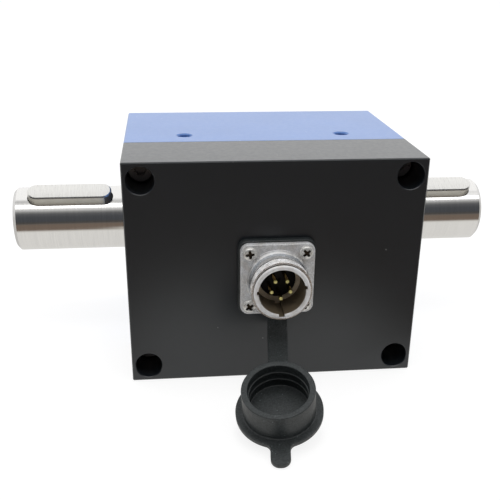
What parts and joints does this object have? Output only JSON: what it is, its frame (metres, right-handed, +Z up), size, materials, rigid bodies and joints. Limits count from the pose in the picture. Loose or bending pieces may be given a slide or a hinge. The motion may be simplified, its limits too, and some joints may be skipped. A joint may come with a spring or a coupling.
{
  "type": "rotary torque sensor",
  "caption": "Rotary torque sensor: block body with a keyed through shaft on ball bearings, round pin connector on the front and a tethered dust cap.",
  "frame": {"origin": "middle of the face that the body stands on", "axes": "+X along the shaft, +Y from the connector to the back face, +Z up"},
  "size_m": [0.1523, 0.1145, 0.064],
  "materials": {
    "blue_anodised": "satin blue anodised",
    "black_anodised": "satin black anodised",
    "black_oxide_steel": "black oxide",
    "ground_steel": "ground",
    "key_steel": "cold drawn",
    "spring_steel": "phosphated",
    "bearing_steel": "polished",
    "cage_steel": "pressed",
    "seal_rubber": "moulded",
    "bobbin_plastic": "moulded",
    "copper_wire": "enamelled copper",
    "gauge_foil": "polyimide foil",
    "board_laminate": "green solder mask",
    "chip_plastic": "moulded",
    "capacitor_can": "drawn can",
    "header_plastic": "moulded",
    "spacer_brass": "turned",
    "small_screw_steel": "zinc plated",
    "flange_screw_steel": "nickel plated",
    "turned_aluminium": "turned",
    "disc_steel": "etched",
    "nickel_plate": "nickel plated",
    "insert_plastic": "moulded",
    "gold_plate": "gold plated",
    "cap_rubber": "matt moulded"
  },
  "bodies": {
    "stator": {"bearing_seals_left": "seal_rubber", "bearing_seals_right": "seal_rubber", "board_capacitors": "capacitor_can", "board_chips": "chip_plastic", "board_header": "header_plastic", "board_screws": "small_screw_steel", "board_spacers": "spacer_brass", "circuit_board": "board_laminate", "connector_insert": "insert_plastic", "connector_pins": "gold_plate", "connector_shell": "nickel_plate", "cover_screws": "black_oxide_steel", "dust_cap": "cap_rubber", "flange_screws": "flange_screw_steel", "front_cover": "black_anodised", "housing": "blue_anodised", "outer_race_left": "bearing_steel", "outer_race_right": "bearing_steel", "pickup_bracket": "turned_aluminium", "pickup_screws": "small_screw_steel", "pickup_sensor": "chip_plastic", "retaining_ring_left": "spring_steel", "retaining_ring_right": "spring_steel", "stator_ring_left": "bobbin_plastic", "stator_ring_right": "bobbin_plastic", "stator_winding_left": "copper_wire", "stator_winding_right": "copper_wire"},
    "rotor": {"shaft": "ground_steel", "key_left": "key_steel", "key_right": "key_steel", "inner_race_left": "bearing_steel", "inner_race_right": "bearing_steel", "bearing_spacer_left": "turned_aluminium", "bearing_spacer_right": "turned_aluminium", "board_spacer_ring": "turned_aluminium", "disc_spacer_sleeve": "turned_aluminium", "rotor_bobbin_left": "bobbin_plastic", "rotor_bobbin_right": "bobbin_plastic", "rotor_winding_left": "copper_wire", "rotor_winding_right": "copper_wire", "rotor_board": "board_laminate", "rotor_chips": "chip_plastic", "disc_hub": "turned_aluminium", "speed_disc": "disc_steel", "strain_gauges": "gauge_foil"},
    "cage_left": {"bearing_cage_left": "cage_steel", "bearing_balls_left": "bearing_steel"},
    "cage_right": {"bearing_cage_right": "cage_steel", "bearing_balls_right": "bearing_steel"}
  },
  "joints": [
    {"name": "shaft_spin", "type": "hinge", "parent": "stator", "child": "rotor", "pos_m": [0, 0.0155, 0.0339], "axis": [1, 0, 0], "continuous": true},
    {"name": "cage_left_spin", "type": "hinge", "parent": "stator", "child": "cage_left", "pos_m": [-0.0339, 0.0155, 0.0339], "axis": [1, 0, 0], "continuous": true},
    {"name": "cage_right_spin", "type": "hinge", "parent": "stator", "child": "cage_right", "pos_m": [0.0339, 0.0155, 0.0339], "axis": [1, 0, 0], "continuous": true}
  ],
  "couplings": [
    {"joint": "cage_left_spin", "follows": "shaft_spin", "ratio": 0.44231},
    {"joint": "cage_right_spin", "follows": "shaft_spin", "ratio": 0.44231}
  ]
}
